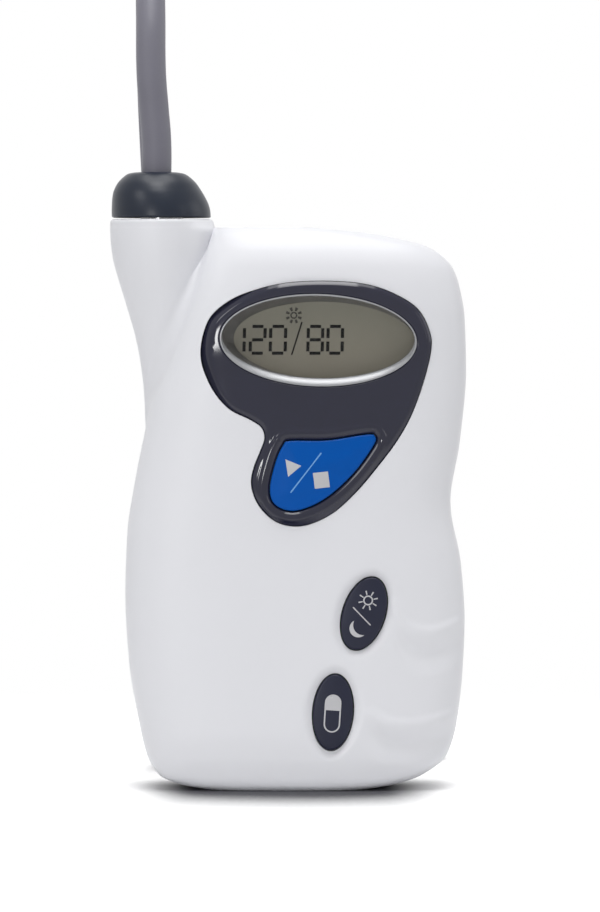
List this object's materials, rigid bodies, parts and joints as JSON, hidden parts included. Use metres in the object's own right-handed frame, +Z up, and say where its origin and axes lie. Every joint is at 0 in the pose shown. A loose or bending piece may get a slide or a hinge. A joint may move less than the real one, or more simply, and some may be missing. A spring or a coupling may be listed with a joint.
{
  "type": "ambulatory blood pressure monitor",
  "caption": "Wearable blood pressure recorder in a waisted white case, with an oval display, dark bezel, blue start button, side buttons and an air hose on a domed coupling.",
  "frame": {"origin": "middle of the case's base, on the surface it stands on", "axes": "+Z up, -Y out of the display, +X to the right as one looks at the display"},
  "size_m": [0.0697, 0.1442, 0.1653],
  "materials": {
    "case_white": "satin",
    "bezel_dark": "glossy",
    "ring_pale": "glossy",
    "lens_clear": "clear",
    "display_grey": "satin",
    "button_blue": "satin",
    "button_navy": "satin",
    "dome_navy": "satin",
    "hose_grey": "satin",
    "tie_dark": "woven",
    "rubber_dark": "matt",
    "tube_clear": "soft",
    "plastic_dark": "matt",
    "plastic_pale": "matt",
    "board_green": "lacquered",
    "steel": "brushed",
    "steel_dark": "blackened",
    "cell_sleeve": "printed film, bare",
    "label_grey": "matt"
  },
  "bodies": {
    "case": {"front_shell": "case_white", "rear_shell": "case_white", "display_bezel": "bezel_dark", "window_ring": "ring_pale", "display_lens": "lens_clear", "lcd_panel": "display_grey", "lcd_holder": "plastic_pale", "lcd_contact_strips": "rubber_dark", "main_board": "board_green", "board_chips": "plastic_dark", "backup_cell": "steel", "buzzer": "plastic_dark", "data_socket": "plastic_dark", "tactile_switches": "plastic_dark", "pressure_sensors": "plastic_dark", "air_manifold": "plastic_pale", "bleed_valve": "steel_dark", "pump_motor": "steel", "pump_head": "plastic_dark", "pump_foot": "rubber_dark", "pump_tube": "tube_clear", "port_tube": "tube_clear", "hose_port": "steel", "port_seal": "rubber_dark", "battery_tray": "plastic_pale", "battery_left": "cell_sleeve", "battery_right": "cell_sleeve", "battery_springs": "steel", "battery_contacts": "steel", "rear_label": "label_grey", "case_screws": "steel_dark", "board_screws": "steel", "hose_run": "hose_grey", "hose_hank": "hose_grey", "hose_tie": "tie_dark", "cuff_connector": "dome_navy"},
    "start_button": {"start_stop_button": "button_blue", "start_plunger": "plastic_pale"},
    "day_night": {"day_night_button": "button_navy", "day_night_plunger": "plastic_pale"},
    "event": {"event_button": "button_navy", "event_plunger": "plastic_pale"},
    "coupling": {"hose_coupling": "dome_navy"},
    "door": {"battery_door": "case_white"},
    "rotor": {"pump_shaft": "steel"}
  },
  "joints": [
    {"name": "start_stop_press", "type": "slide", "parent": "case", "child": "start_button", "axis": [0, 1, 0], "range_m": [0, 0.0006], "stiffness_N_per_m": 1500},
    {"name": "day_night_press", "type": "slide", "parent": "case", "child": "day_night", "axis": [0, 1, 0], "range_m": [0, 0.0006], "stiffness_N_per_m": 1500},
    {"name": "event_press", "type": "slide", "parent": "case", "child": "event", "axis": [0, 1, 0], "range_m": [0, 0.0006], "stiffness_N_per_m": 1500},
    {"name": "coupling_turn", "type": "hinge", "parent": "case", "child": "coupling", "pos_m": [-0.0248, 0, 0.1116], "axis": [0, 0, 1], "range_deg": [0, 90]},
    {"name": "battery_door_slide", "type": "slide", "parent": "case", "child": "door", "axis": [0, 0, -1], "range_m": [0, 0.006]},
    {"name": "pump_spin", "type": "hinge", "parent": "case", "child": "rotor", "pos_m": [0.02, 0.004, 0.036], "axis": [0, 0, 1], "continuous": true}
  ]
}
